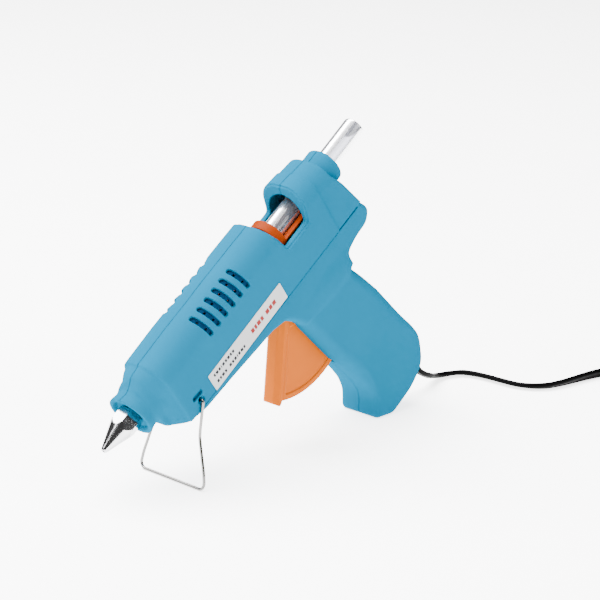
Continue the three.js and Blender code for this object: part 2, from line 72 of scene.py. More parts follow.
def gun(points):
    """Points in the gun's frame, in millimetres, as row-frame points in metres."""
    p = np.asarray(points, float).reshape(-1, 3)
    return (turn_gun(p) + (OFFSET_X, 0.0, OFFSET_Z)) * MM


# ---------------------------------------------------------------- camera
VIEW_TURNS = (-49.04, 16.84, 2.46)  # azimuth, elevation and roll, in degrees
VIEW_AIM = (-0.0341, -0.0481, 0.0962)
VIEW_DISTANCE = 1.0195
FOCAL_LENGTH = 129.56  # millimetres, on a 36 mm sensor


def make_camera():
    azimuth, elevation, roll = map(math.radians, VIEW_TURNS)
    aim = Vector(VIEW_AIM)
    back = Vector((math.sin(azimuth) * math.cos(elevation),
                   -math.cos(azimuth) * math.cos(elevation), math.sin(elevation)))
    level = Vector((0, 0, 1)).cross(back).normalized()
    right = Matrix.Rotation(roll, 3, back) @ level
    up = back.cross(right)
    data = bpy.data.cameras.new("view_camera")
    data.lens = FOCAL_LENGTH
    data.sensor_width = 36
    data.clip_start = 0.05
    data.clip_end = 20
    camera = bpy.data.objects.new("view_camera", data)
    bpy.context.scene.collection.objects.link(camera)
    turn = Matrix((right, up, back)).transposed().to_4x4()
    camera.matrix_world = Matrix.Translation(aim + back * VIEW_DISTANCE) @ turn
    bpy.context.scene.camera = camera


make_camera()


# ---------------------------------------------------------------- mesh helpers
def new_piece(name, verts, faces, material, smooth=True):
    mesh = bpy.data.meshes.new(name)
    mesh.from_pydata([tuple(v) for v in verts], [], [tuple(int(i) for i in f) for f in faces])
    mesh.update()
    if smooth:
        mesh.shade_smooth()
    mesh.materials.append(material)
    piece = bpy.data.objects.new(name, mesh)
    bpy.context.scene.collection.objects.link(piece)
    return piece


def sharpen(piece, degrees=32):
    """Smooth shading, except over edges sharper than the angle."""
    piece.data.set_sharp_from_angle(angle=math.radians(degrees))
    return piece


def place(piece, body, slot, *nodes):
    """The piece rides on a body and stands for CAD nodes, which it hides. The slot is not used."""
    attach(piece, body)
    if nodes:
        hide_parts(*nodes)
    return piece


def sweep(centres, normals, section, closed_ends=True):
    """A tube: section is a list of (across, up) pairs, laid on each centre's own axes."""
    c = np.asarray(centres, float)
    t = np.gradient(c, axis=0)
    t /= np.linalg.norm(t, axis=1)[:, None]
    n = np.asarray(normals, float)
    n = n - (n * t).sum(1)[:, None] * t
    n /= np.linalg.norm(n, axis=1)[:, None]
    b = np.cross(t, n)
    s = np.asarray(section, float)
    verts = c[:, None] + s[None, :, :1] * n[:, None] + s[None, :, 1:] * b[:, None]
    rings, count = len(c), len(s)
    faces = []
    for k in range(rings - 1):
        for i in range(count):
            j = (i + 1) % count
            faces.append((k * count + i, k * count + j, (k + 1) * count + j, (k + 1) * count + i))
    if closed_ends:
        faces.append(tuple(reversed(range(count))))
        faces.append(tuple(range((rings - 1) * count, rings * count)))
    return verts.reshape(-1, 3), faces


def smooth_path(points, step):
    """A Catmull-Rom curve through the points, cut into about equal steps."""
    p = np.asarray(points, float)
    p = np.vstack([2 * p[0] - p[1], p, 2 * p[-1] - p[-2]])
    out = []
    for a, b, c, d in zip(p, p[1:], p[2:], p[3:]):
        for u in np.linspace(0, 1, 16, endpoint=False):
            out.append(0.5 * (2 * b + (c - a) * u + (2 * a - 5 * b + 4 * c - d) * u * u
                              + (3 * b - a - 3 * c + d) * u ** 3))
    out.append(p[-2])
    return even(np.array(out), step)


def even(line, step):
    """The same line with its points at about equal steps."""
    along = np.concatenate([[0], np.cumsum(np.linalg.norm(np.diff(line, axis=0), axis=1))])
    at = np.linspace(0, along[-1], max(2, int(round(along[-1] / step)) + 1))
    return np.stack([np.interp(at, along, line[:, k]) for k in range(line.shape[1])], axis=1)


def lathe(profile, sides=64):
    """Turns (x, radius) pairs about the barrel's axis; profile ends on the axis or closes."""
    angles = np.linspace(0, 2 * math.pi, sides, endpoint=False)
    verts = [(x, r * math.cos(a), r * math.sin(a)) for x, r in profile for a in angles]
    faces = []
    for k in range(len(profile) - 1):
        for i in range(sides):
            j = (i + 1) % sides
            faces.append((k * sides + i, (k + 1) * sides + i, (k + 1) * sides + j, k * sides + j))
    return verts, faces


# ---------------------------------------------------------------- distance fields
class Field:
    """A grid of points in the gun's frame, in millimetres, on which shapes are distances."""

    def __init__(self, low, high, voxel, finer=()):
        """finer lists (axis, from, to, step): stretches of an axis with closer points."""
        n = [int(math.ceil((b - a) / voxel)) + 1 for a, b in zip(low, high)]
        self.axes = [a + voxel * np.arange(k) for a, k in zip(low, n)]
        for k, start, end, step in finer:
            axis = self.axes[k]
            near = np.arange(start, end + step / 2, step)
            far = axis[(axis < start - step) | (axis > end + step)]
            self.axes[k] = np.sort(np.concatenate([far, near]))
        self.voxel = voxel
        self.x = self.axes[0][:, None, None].astype(np.float32)
        self.y = self.axes[1][None, :, None].astype(np.float32)
        self.z = self.axes[2][None, None, :].astype(np.float32)

    def side(self, outline):
        """Distance from an outline in x and z, the same for every y."""
        flat = outline_distance(outline, self.axes[0], self.axes[2])
        return flat[:, None, :]

    def mesh(self, distance):
        """The surface at zero: points, quads and the points' normals, from the field's slopes."""
        shape = np.broadcast_shapes(self.x.shape, self.y.shape, self.z.shape)
        band = 3 * self.voxel
        values = np.clip(np.broadcast_to(distance, shape), -band, band).astype(np.float32)
        grid = openvdb.FloatGrid(background=band)
        grid.copyFromArray(np.ascontiguousarray(values))
        at, quads = grid.convertToQuads(isovalue=0.0)
        slopes = np.gradient(values, *self.axes)
        normals = np.stack([at_indices(s, at) for s in slopes], axis=1)
        normals /= np.maximum(np.linalg.norm(normals, axis=1), 1e-6)[:, None]
        points = np.stack([np.interp(at[:, k], np.arange(len(axis)), axis)
                           for k, axis in enumerate(self.axes)], axis=1)
        return points, quads, normals


def at_indices(values, at):
    """Values of a grid between its points, by three-way linear interpolation."""
    top = np.array(values.shape) - 1.001
    at = np.clip(at, 0, top)
    low = np.floor(at).astype(int)
    part = at - low
    out = 0
    for corner in range(8):
        step = np.array([corner & 1, corner >> 1 & 1, corner >> 2 & 1])
        weight = np.prod(np.where(step, part, 1 - part), axis=1)
        i, j, k = (low + step).T
        out = out + weight * values[i, j, k]
    return out


def field_piece(name, surface, material):
    """A piece from a field's surface, shaded by the field's own slopes."""
    points, quads, normals = surface
    piece = new_piece(name, gun(points), quads, material)
    piece.data.normals_split_custom_set_from_vertices([tuple(n) for n in turn_gun(normals)])
    return piece


def outline_distance(outline, xs, zs):
    """Signed distance, negative inside, of the grid xs by zs from a closed outline."""
    px, pz = np.meshgrid(xs, zs, indexing="ij")
    best = np.full(px.shape, np.inf, np.float32)
    inside = np.zeros(px.shape, bool)
    for (ax, az), (bx, bz) in zip(outline, outline[1:] + outline[:1]):
        ex, ez = bx - ax, bz - az
        t = np.clip(((px - ax) * ex + (pz - az) * ez) / (ex * ex + ez * ez), 0, 1)
        best = np.minimum(best, np.hypot(px - ax - t * ex, pz - az - t * ez))
        if ez:
            crosses = (az > pz) != (bz > pz)
            inside ^= crosses & (px < ax + (pz - az) / ez * ex)
    return np.where(inside, -best, best).astype(np.float32)


def rounded(corners, steps=6):
    """A closed outline whose corners are (x, z, radius)."""
    out = []
    for i, (x, z, *r) in enumerate(corners):
        here = np.array((x, z), float)
        if not r or not r[0]:
            out.append((x, z))
            continue
        arms = []
        for other in (corners[i - 1], corners[(i + 1) % len(corners)]):
            d = np.array(other[:2], float) - here
            length = np.linalg.norm(d)
            arms.append(d / length * min(r[0], length * 0.48))
        for u in np.linspace(0, 1, steps + 1):
            p = here + arms[0] * (1 - u) ** 2 + arms[1] * u ** 2
            out.append((float(p[0]), float(p[1])))
    return out


def union(a, b, k=0.0):
    """Both shapes, with a fillet of about k where they join."""
    if np.ndim(k) == 0 and not k:
        return np.minimum(a, b)
    h = np.clip(0.5 + 0.5 * (b - a) / k, 0, 1)
    return b + (a - b) * h - k * h * (1 - h)


def meet(a, b, k=0.0):
    """What two shapes share, with a rounded edge of about k."""
    return -union(-a, -b, k)


def cut(a, b, k=0.0):
    """The first shape without the second."""
    return meet(a, -b, k)


def pillow(side, across, edge):
    """An extruded outline whose side edges are rounded; across is |y| less the half-width."""
    u, v = side + edge, across + edge
    return np.hypot(np.maximum(u, 0), np.maximum(v, 0)) + np.minimum(np.maximum(u, v), 0) - edge


def bump(x, at, width):
    """1 at a place, falling smoothly to 0 at width to either side."""
    return np.clip(1 - ((x - at) / width) ** 2, 0, 1) ** 2


def ramp(x, low, high):
    """0 up to low, 1 from high on, and a smooth step between."""
    t = np.clip((x - low) / (high - low), 0, 1)
    return t * t * (3 - 2 * t)


# ---------------------------------------------------------------- node materials
class Nodes:
    """A few short calls for building one material's nodes."""

    def __init__(self, name):
        self.material = bpy.data.materials.new(name)
        self.material.use_nodes = True
        self.tree = self.material.node_tree
        self.shader = self.tree.nodes["Principled BSDF"]
        self.coords = self.tree.nodes.new("ShaderNodeTexCoord").outputs["Object"]

    def link(self, source, target):
        if isinstance(source, (int, float, tuple)):
            target.default_value = source
        else:
            self.tree.links.new(source, target)

    def noise(self, scale, detail=3.0):
        node = self.tree.nodes.new("ShaderNodeTexNoise")
        node.inputs["Scale"].default_value = scale
        node.inputs["Detail"].default_value = detail
        self.tree.links.new(self.coords, node.inputs["Vector"])
        return node.outputs["Fac"]

    def spread(self, value, low, high, start=0.3, end=0.7):
        """Maps a noise value onto a range of numbers."""
        node = self.tree.nodes.new("ShaderNodeMapRange")
        self.link(value, node.inputs["Value"])
        for name, number in (("From Min", start), ("From Max", end), ("To Min", low), ("To Max", high)):
            node.inputs[name].default_value = number
        return node.outputs["Result"]

    def mix(self, factor, a, b):
        node = self.tree.nodes.new("ShaderNodeMix")
        node.data_type = "RGBA"
        self.link(factor, node.inputs[0])
        self.link(a, node.inputs[6])
        self.link(b, node.inputs[7])
        return node.outputs[2]

    def bump(self, height, distance):
        node = self.tree.nodes.new("ShaderNodeBump")
        node.inputs["Strength"].default_value = 1.0
        node.inputs["Distance"].default_value = distance
        self.link(height, node.inputs["Height"])
        self.tree.links.new(node.outputs["Normal"], self.shader.inputs["Normal"])

    def set(self, **values):
        """Sets the shader's inputs, to plain values or to other nodes' outputs."""
        for name, value in values.items():
            self.link(value, self.shader.inputs[name.replace("_", " ")])


def drift(n, colour, scale, amount):
    """A colour that wanders a little in brightness over the surface."""
    low = tuple(c * (1 - amount) for c in colour) + (1.0,)
    high = tuple(c * (1 + amount) for c in colour) + (1.0,)
    return n.mix(n.spread(n.noise(scale), 0.0, 1.0), low, high)


def plastic(name, colour, grain, depth, roughness, specular):
    """Moulded plastic: a slow drift of colour and a fine spark-eroded grain."""
    n = Nodes(name)
    n.set(Base_Color=drift(n, colour, 35.0, 0.03))
    n.set(Roughness=n.spread(n.noise(220.0), roughness - 0.05, roughness + 0.05))
    n.set(Specular_IOR_Level=specular)
    n.bump(n.noise(grain, 2.0), depth)
    return n.material


def metal(name, colour, roughness):
    """Bright metal, a little uneven in polish."""
    n = Nodes(name)
    n.set(Base_Color=drift(n, colour, 120.0, 0.05))
    n.set(Metallic=1.0, Roughness=n.spread(n.noise(300.0), roughness * 0.75, roughness * 1.3))
    n.bump(n.noise(900.0), 0.00001)
    return n.material


shell_plastic = plastic("shell_plastic", (0.0, 0.084, 0.155), 2600.0, 0.00004, 0.5, 0.0)
# painted shade: a darker copy of the shell plastic for the vent floor, standing in for the shade in the
# slots
painted_shade_plastic = plastic("painted_shade_plastic", (0.0, 0.022, 0.060), 2600.0, 0.00003, 0.5, 0.02)
trigger_plastic = plastic("trigger_plastic", (0.36, 0.075, 0.002), 2400.0, 0.00002, 0.45, 0.02)
feed_plastic = plastic("feed_plastic", (0.17, 0.020, 0.0), 2400.0, 0.00002, 0.4, 0.03)
dark_plastic = plastic("dark_plastic", (0.002, 0.002, 0.0022), 1800.0, 0.00002, 0.5, 0.03)
lead_plastic = plastic("lead_plastic", (0.0008, 0.0008, 0.0009), 1500.0, 0.00001, 0.42, 0.015)
label_paper = plastic("label_paper", (0.36, 0.365, 0.37), 3000.0, 0.000004, 0.35, 0.05)
label_ink = plastic("label_ink", (0.012, 0.013, 0.015), 3000.0, 0.000004, 0.45, 0.05)
heading_ink = plastic("heading_ink", (0.16, 0.010, 0.010), 3000.0, 0.000004, 0.45, 0.05)
nickel = metal("nickel", (0.50, 0.50, 0.51), 0.12)
stand_steel = metal("stand_steel", (0.15, 0.147, 0.143), 0.2)

# ---------------------------------------------------------------- the lead, the coil and the plug
LEAD_WIDE, LEAD_FLAT = 5.6, 2.8
# the lead's route from the grommet to just past the right edge of the picture, row frame, metres
LEAD_ROUTE = [
    (0.1143, 0.0, 0.0239), (0.1166, 0.0, 0.0223), (0.1192, 0.0002, 0.0189), (0.1213, 0.0005, 0.0152),
    (0.1246, 0.0004, 0.0122), (0.1289, 0.0005, 0.0098), (0.1335, 0.0014, 0.0078),
    (0.1395, 0.0036, 0.0054), (0.1465, 0.0056, 0.0034), (0.153, 0.006, 0.0024),
    (0.1595, 0.0043, 0.0023), (0.1654, 0.0006, 0.0023), (0.1686, -0.0065, 0.0023),
    (0.17, -0.015, 0.0023), (0.1706, -0.024, 0.0023), (0.1718, -0.0325, 0.0023),
    (0.1758, -0.0395, 0.0023), (0.1825, -0.0448, 0.0023), (0.1915, -0.0478, 0.0023),
    (0.2015, -0.0495, 0.0023), (0.212, -0.051, 0.0023), (0.2195, -0.0524, 0.0023),
    (0.2256, -0.0536, 0.0023),
]
COIL_CENTRE = (0.243, -0.0875)
COIL_IN, COIL_OUT = 0.0217, 0.0343  # radii of the innermost and outermost turns
COIL_RISE = 0.0058  # one layer above the next
COIL_START, COIL_END = math.radians(96), math.radians(225)
COIL_LOW = 0.003  # height of the lower layer's middle
LAYER_TURNS = 4
PLUG_LIFT = 0.0183  # height of the plug's middle, on top of the coil


def coil_path():
    """Four turns inwards on the floor, nearly four outwards on top of them, then up to the plug."""
    cx, cy = COIL_CENTRE
    whole = COIL_START - COIL_END + 2 * math.pi + 7 * 2 * math.pi
    down = LAYER_TURNS * 2 * math.pi
    points = []
    for turned in np.arange(0, whole, math.radians(7.5)):
        inwards = turned < down
        part = turned / down if inwards else 1 - (turned - down) / (whole - down)
        radius = COIL_OUT - (COIL_OUT - COIL_IN) * part
        height = COIL_LOW + (0 if inwards else COIL_RISE * min(1.0, (turned - down) * 0.6))
        height += (PLUG_LIFT - COIL_LOW - COIL_RISE) * ramp(turned, whole - 1.7, whole)
        angle = COIL_START - turned
        points.append((cx + radius * math.cos(angle), cy + radius * math.sin(angle), height))
    # a right-hand bend in over the coil, and straight on into the plug's sleeve
    bend = 0.008
    out = np.array((math.cos(COIL_END), math.sin(COIL_END)))
    side = np.array((math.sin(COIL_END), -math.cos(COIL_END)))
    centre = np.array((cx, cy)) + out * (COIL_OUT - bend)
    for a in np.radians((20, 45, 70, 90)):
        x, y = centre + bend * (out * math.cos(a) + side * math.sin(a))
        points.append((x, y, PLUG_LIFT))
    for reach in (0.004, 0.009):
        x, y = centre + bend * side - out * reach
        points.append((x, y, PLUG_LIFT))
    return points


def flat_section(wide, flat, steps=8):
    """A figure-eight twin lead: two round cores joined by a thin web."""
    core = flat / 2
    apart = (wide - flat) / 2
    points = []
    for side in (1, -1):
        for k in range(-steps, steps + 1):
            a = math.pi * 0.5 * k / steps * 1.36
            points.append((side * (apart + core * math.cos(a)), side * core * math.sin(a)))
    return points


def make_lead():
    """The flat twin lead along its whole path, which it returns."""
    path = smooth_path(LEAD_ROUTE + coil_path(), 0.0016)
    along = np.concatenate([[0], np.cumsum(np.linalg.norm(np.diff(path, axis=0), axis=1))])
    length = along[-1]
    tangent = np.gradient(path, axis=0)
    tangent /= np.linalg.norm(tangent, axis=1)[:, None]
    # how far the wide direction leans from level: on edge in the coil, easing over at the plug
    level = np.cross(tangent, (0, 0, 1))
    level /= np.maximum(np.linalg.norm(level, axis=1), 1e-6)[:, None]
    stops = (0.0, 0.030, 0.062, 0.098, 0.150, 0.185, length - 0.02, length)
    turns = (0.0, 8.0, 24.0, 20.0, 75.0, 90.0, 90.0, 40.0)
    lean = np.radians(np.interp(along, stops, turns))
    flat = level * np.cos(lean)[:, None] + np.cross(level, tangent) * np.sin(lean)[:, None]
    section = [(x * MM, y * MM) for x, y in flat_section(LEAD_WIDE, LEAD_FLAT)]
    # the lead's lowest edge stays on the floor
    tall = np.abs(flat[:, 2]) * LEAD_WIDE / 2 * MM + (1 - np.abs(flat[:, 2])) * LEAD_FLAT / 2 * MM
    path[:, 2] = np.maximum(path[:, 2], tall + 0.0001)
    verts, faces = sweep(path, flat, section)
    lead = new_piece("mains_lead_cable", verts, faces, lead_plastic)
    sharpen(lead, 50)
    place(lead, "housing", "pvc", "mains_lead", "lead_coil")
    return path


TIE_REACH, TIE_RISE = 0.0086, 0.0062  # half the band's opening, across the turns and up
TIE_HALF_WIDE, TIE_HALF_THICK = 0.0020, 0.0004


def make_tie():
    """A band round the coil's turns: a closed loop with well-rounded corners."""
    cx, cy = COIL_CENTRE
    low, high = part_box("lead_tie")
    middle = (low + high) / 2
    out = Vector((middle.x - cx, middle.y - cy, 0)).normalized()
    turns_middle = (COIL_IN + COIL_OUT) / 2
    count = 40
    ring = []
    for k in range(count):
        a = 2 * math.pi * k / count
        c, s = math.cos(a), math.sin(a)
        reach = turns_middle + math.copysign(abs(c) ** 0.5, c) * TIE_REACH
        up = math.copysign(abs(s) ** 0.5, s) * TIE_RISE
        ring.append((cx + out.x * reach, cy + out.y * reach, TIE_RISE + up))
    ring.append(ring[0])
    side = np.tile((-out.y, out.x, 0.0), (len(ring), 1))
    section = [(-TIE_HALF_WIDE, -TIE_HALF_THICK), (TIE_HALF_WIDE, -TIE_HALF_THICK),
               (TIE_HALF_WIDE, TIE_HALF_THICK), (-TIE_HALF_WIDE, TIE_HALF_THICK)]
    verts, faces = sweep(ring, side, section, closed_ends=False)
    tie = new_piece("cable_tie_band", verts, faces, dark_plastic)
    sharpen(tie)
    place(tie, "housing", "tie", "lead_tie")


lead_path = make_lead()
make_tie()


PLUG_LONG, PLUG_WIDE, PLUG_THICK = 36.0, 35.0, 13.6
PIN_APART, PIN_R, PIN_OUT = 9.4, 2.0, 19.0
PLUG_BACK, PLUG_ASIDE = 20.0, 8.0  # the plug's root from the coil's middle, back and to the side


def on_plug(points):
    """Plug points (across, up, along the pins) in millimetres, in the row frame."""
    p = np.asarray(points, float)
    c, s = -math.cos(COIL_END), -math.sin(COIL_END)
    cx, cy = COIL_CENTRE
    x = cx - PLUG_BACK * MM * c - PLUG_ASIDE * MM * s
    y = cy - PLUG_BACK * MM * s + PLUG_ASIDE * MM * c
    return np.stack([x + (p[:, 2] * c - p[:, 0] * s) * MM, y + (p[:, 2] * s + p[:, 0] * c) * MM,
                     PLUG_LIFT + p[:, 1] * MM], axis=1)


def make_plug():
    f = Field((-19, -8, -14), (19, 8, 38), 0.5)
    outline = rounded([(-5, 0, 2), (5, 0, 2), (7.5, 11, 5), (PLUG_WIDE / 2, 17, 6),
                       (PLUG_WIDE / 2, PLUG_LONG, 3), (-PLUG_WIDE / 2, PLUG_LONG, 3),
                       (-PLUG_WIDE / 2, 17, 6), (-7.5, 11, 5)])
    body = pillow(f.side(outline), abs(f.y) - PLUG_THICK / 2, 3.0)
    sleeve = np.maximum(np.hypot(f.x / 1.3, f.y) - 2.6, abs(f.z + 5) - 8)
    for z in (-4, -7, -10):
        sleeve = cut(sleeve, np.maximum(abs(f.z - z) - 0.8, 2.2 - np.hypot(f.x / 1.3, f.y)))
    body = union(body, sleeve, 2.0)
    for z in (21, 24.5, 28):
        groove = np.maximum(abs(f.z - z) - 0.9, PLUG_THICK / 2 - 0.7 - abs(f.y))
        body = cut(body, np.maximum(groove, abs(f.x) - 11), 0.4)
    for side in (-1, 1):
        body = cut(body, np.maximum(np.hypot(f.x - side * PIN_APART, f.y) - 2.3, 35 - f.z))
    points, quads, _ = f.mesh(body)
    plug = new_piece("plug_moulding", on_plug(points), quads, dark_plastic)
    sharpen(plug, 40)
    place(plug, "housing", "pvc", "plug_body")
    pins = []
    for number, side in ((1, -1), (2, 1)):
        profile = [(32.6, 0.01), (32.6, PIN_R), (PLUG_LONG + PIN_OUT - 1.6, PIN_R),
                   (PLUG_LONG + PIN_OUT - 0.7, PIN_R * 0.82), (PLUG_LONG + PIN_OUT - 0.1, PIN_R * 0.45),
                   (PLUG_LONG + PIN_OUT, 0.01)]
        verts, faces = lathe(profile, 24)
        at = [(side * PIN_APART + y, z, x) for x, y, z in verts]
        pin = new_piece(f"plug_contact_{number}", on_plug(at), faces, nickel)
        sharpen(pin)
        place(pin, "housing", "nickel", f"plug_pin_{number}")
        pins.append(pin)
    return [plug] + pins


plug_pieces = make_plug()

# ---------------------------------------------------------------- the housing
HALF = 14.6  # half the barrel's width
LOW_HALF = 13.7  # half the width below the crease
SHOULDER_R = 11.8
SHOULDER_Y, SHOULDER_Z = HALF - SHOULDER_R, 5.7  # the middle of the shoulder's curve
WALL = 2.2
RING_R, RING_FRONT = 12.1, 1.9  # the muzzle's ring
MOUTH_R = 9.3
COLLAR_R, COLLAR_BORE, COLLAR_END = 10.05, 6.7, 170.4  # the rear collar
REST = -OFFSET_Z / COS  # height, in the gun's frame, of the floor at x = 0


def rest_z(x):
    """The floor's height in the gun's frame."""
    return REST - x * math.tan(TILT)


barrel_side = rounded([
    (9.4, -12.6, 1), (11.4, -15.4, 1), (22.2, -23.2, 2), (32.3, -26.0, 2), (53, -27.5), (70, -29.2),
    (86, -30.6), (95.4, -33.4, 2), (100.5, -40.5, 2), (104, -48, 3), (148.3, -48, 0),
    (148.3, -40.3, 3), (156.5, -37.9, 4), (167.6, -37.4, 3.5), (172.9, -31.5, 3), (169.2, -23, 2.5),
    (164, -3, 3), (160.2, 5, 0), (160.2, 21, 0), (13.8, 21, 0), (13.8, 16.1, 2.4), (10.6, 12.8, 1.5),
    (9.4, 11.4, 1),
])
grip_side = rounded([
    (103, -33), (102.6, -43), (106.4, -62), (110.8, -83.9), (114.7, -94.7, 3), (117.3, -105.4),
    (119.6, -117, 3), (119.2, -126, 4), (112.7, rest_z(112.7) + 0.02, 3),
    (124, rest_z(124) + 0.02, 2.5), (143.6, -144.6, 6), (157, -139.6, 6), (163.6, -125, 6),
    (163.4, -117, 4), (159.6, -98), (155.4, -77), (150.4, -60, 6), (146.6, -50, 6), (146, -36),
])


def scallops(f):
    """The far side's finger flutes: shallow dips along the shoulder."""
    dips = 0
    for k in range(5):
        dips = dips + 0.55 * bump(f.x, 58.0 + 7.2 * k, 3.4)
    return dips


def crease_z(x):
    return -21.2 - 0.0135 * (x - 35)


def housing_form(f, wall, side):
    """The closed outside of the gun at one wall's depth, before its openings are cut."""
    y = abs(f.y)
    flat = f.side(barrel_side) + wall
    half = HALF - wall
    nose = np.clip((24.0 - f.x) / 11.0, 0, 1)
    half = half - 3.6 * nose ** 2.2  # the barrel narrows towards the muzzle ring
    half = half - 0.8 + 0.8 * ramp(f.x, 19.6, 20.4)
    top = np.interp(f.x, (9, 13.6, 19.6, 20.4, 41.8, 60, 73, 97, 139, 148.4, 149.4, 160, 166),
                    (14.2, 15.7, 16.3, 17.1, 17.5, 17.3, 17.5, 17.2, 16.2, 15.2, 14.6, 13.4, 12.8)) - wall
    hood = 0.5 * ramp(f.x, 148.4, 149.2)
    radius = SHOULDER_R - wall
    u = y - (half - hood - radius)
    v = f.z - (top - radius)
    section = np.hypot(np.maximum(u, 0), np.maximum(v, 0)) + np.minimum(np.maximum(u, v), 0) - radius
    upper = meet(section, flat, 1.2)
    upper = meet(upper, crease_z(f.x) - f.z + wall * 0.4, 0.4)
    if side > 0:
        upper = upper + scallops(f) * bump(np.arctan2(y - 2.8, f.z - 5.7), 0.95, 0.9)
    low_half = LOW_HALF - wall - 2.8 * nose ** 2
    lower = pillow(flat, y - low_half, max(3.2 - wall, 0.6))
    lower = np.maximum(lower, f.z - crease_z(f.x) - 6 - 30 * ramp(f.x, 163, 165))
    body = union(upper, lower, 0.0)
    edge = 6.5 - 3.2 * ramp(-f.z, 100, 125) if not wall else 4.0
    grip = pillow(f.side(grip_side) + wall, y - (13.4 - wall), edge)
    body = union(body, grip, 1.2 + 3.6 * ramp(f.x, 108, 130))
    if not wall:
        ring = np.hypot(y, f.z)
        lip = np.maximum(ring - RING_R + 0.55 * ramp(f.x, 3.0, 6.5),
                         np.maximum(RING_FRONT - f.x, f.x - 14))
        body = union(body, lip, 2.6)
        body = np.maximum(body, RING_FRONT - f.x)
        collar = np.maximum(ring - COLLAR_R, np.maximum(150 - f.x, f.x - COLLAR_END))
        bevel = (ring - COLLAR_R + f.x - COLLAR_END + 0.7) * math.sqrt(0.5)
        body = union(body, np.maximum(collar, bevel), 0.6)
    return body


VENT_COUNT, VENT_FIRST, VENT_PITCH = 6, 54.3, 6.2
VENT_R, VENT_REACH = 1.5, 6.3  # a slot's end radius, and half its straight length
VENT_MIDDLE = 12.6  # down the shoulder from its top
VENT_FLOOR = 2.2  # how deep the strip under the slots lies


def on_shoulder(f):
    """Distance down the shoulder from its top, round the curve, and height over its skin."""
    y = abs(f.y)
    up = f.z - SHOULDER_Z
    curved = np.arctan2(y - SHOULDER_Y, up) * SHOULDER_R
    along = np.where(up < 0, 0.5 * math.pi * SHOULDER_R - up, curved)
    height = np.hypot(np.maximum(y - SHOULDER_Y, 0), up) - SHOULDER_R
    return along, np.where(up < 0, y - HALF, height)


def from_vent(f, along, k):
    """Distance in x from the middle line of a slot, which leans a little."""
    return f.x - (VENT_FIRST + VENT_PITCH * k) - (along - 12.5) * 0.12


def vent_cuts(f, body):
    """The slots through the shoulder."""
    along, height = on_shoulder(f)
    run = np.maximum(abs(along - VENT_MIDDLE) - VENT_REACH, 0)
    for k in range(VENT_COUNT):
        slot = np.hypot(from_vent(f, along, k), run) - VENT_R
        slot = np.maximum(slot, np.maximum(-3.2 - height, height - 3))
        body = cut(body, slot, 0.4)
    return body


PIVOT_WEB = 51.0  # the trigger slot's reach from the pivot
STAND_AT = (31.0, -17.0)
LABEL = (40.6, 102.2, -21.4, -10.8)
window_side = rounded([(117.1, -1.6, 0.6), (134.6, -1.6, 1.6), (141.0, 22.0), (110.6, 22.0)])


# the housing screws: where each is, and how far out its head is
SCREWS = [(42, -19.6, 11.4), (86, -21.5, 11.4), (152.5, -28, 11.4), (146, -98, 10.6), (131, -133, 10.6)]


def screw_wells(f, body):
    """The right half's posts, each with a well down to the head of its screw."""
    for x, z, head in SCREWS:
        away = np.hypot(f.x - x, f.z - z)
        body = union(body, np.maximum(away - 3.6, f.y - head - 0.8))
        body = cut(body, np.maximum(away - 2.95, head - 2.1 - f.y), 0.2)
        body = cut(body, away - 1.75)
    return body


def sector(radius, start, end):
    """A slice of a disc about the trigger's pivot, between two angles in degrees."""
    px, pz = PIVOT
    arc = [(px + radius * math.cos(a), pz + radius * math.sin(a))
           for a in np.radians(np.arange(start, end + 1, 5))]
    return [(px, pz)] + arc


def housing_cuts(f, body, outer, side):
    """Opens the closed housing: window, muzzle, collar, trigger slot, stand's pivot, vents."""
    y = abs(f.y)
    ring = np.hypot(f.y, f.z)
    window = f.side(window_side)
    body = cut(body, window, 0.25)
    body = cut(body, np.maximum(window - 0.8, -1.1 - outer), 0.2)
    body = cut(body, np.maximum(ring - MOUTH_R - 0.9 * ramp(-f.x, -3.6, -1.6), f.x - 26), 0.3)
    # the crease: a shadow gap under the flat side's lower edge
    crease = np.maximum(abs(f.z - crease_z(f.x) + 0.45) - 0.5, LOW_HALF - 1.0 - y)
    body = cut(body, np.maximum(crease, np.maximum(30 - f.x, f.x - 166)))
    bore = ring - COLLAR_BORE - 0.5 * ramp(f.x, COLLAR_END - 0.8, COLLAR_END + 0.2)
    body = cut(body, np.maximum(bore, 140 - f.x), 0.3)
    web = np.maximum(f.side(sector(PIVOT_WEB, -150, 0)), y - 4.4)
    reach = f.side([(85, -30), (85, -95), (125, -95), (125, -52), (104, -30)])
    body = cut(body, np.maximum(web, reach), 0.3)
    px = PIVOT[0]
    bar = f.side(rounded([(px - 3, -50), (px - 25, -50), (px - 25, -25), (px - 3, -25)]))
    body = cut(body, np.maximum(bar, y - 6.4), 0.3)
    sx, sz = STAND_AT
    pivot = np.hypot(f.x - sx, f.z - sz)
    body = cut(body, pivot - 1.25, 0.2)
    pocket = np.maximum(f.side(rounded([(26.8, -13.9, 0.6), (27.4, -11.4, 0.6), (34.4, -11.9, 0.6),
                                        (33.8, -14.4, 0.6)])), HALF - 1.7 - y)
    body = cut(body, pocket, 0.2)
    seat = np.maximum(pivot - 2.2, HALF - 0.9 - y)
    body = cut(body, seat, 0.3)
    body = vent_cuts(f, body)
    if side > 0:
        body = screw_wells(f, body)
    if side < 0:
        x0, x1, z0, z1 = LABEL
        panel = f.side([(x0 - 0.3, z0 - 0.3), (x1 + 0.3, z0 - 0.3), (x1 + 0.3, z1 + 0.3),
                        (x0 - 0.3, z1 + 0.3)])
        body = cut(body, np.maximum(panel, HALF - 0.25 - y))
    return body


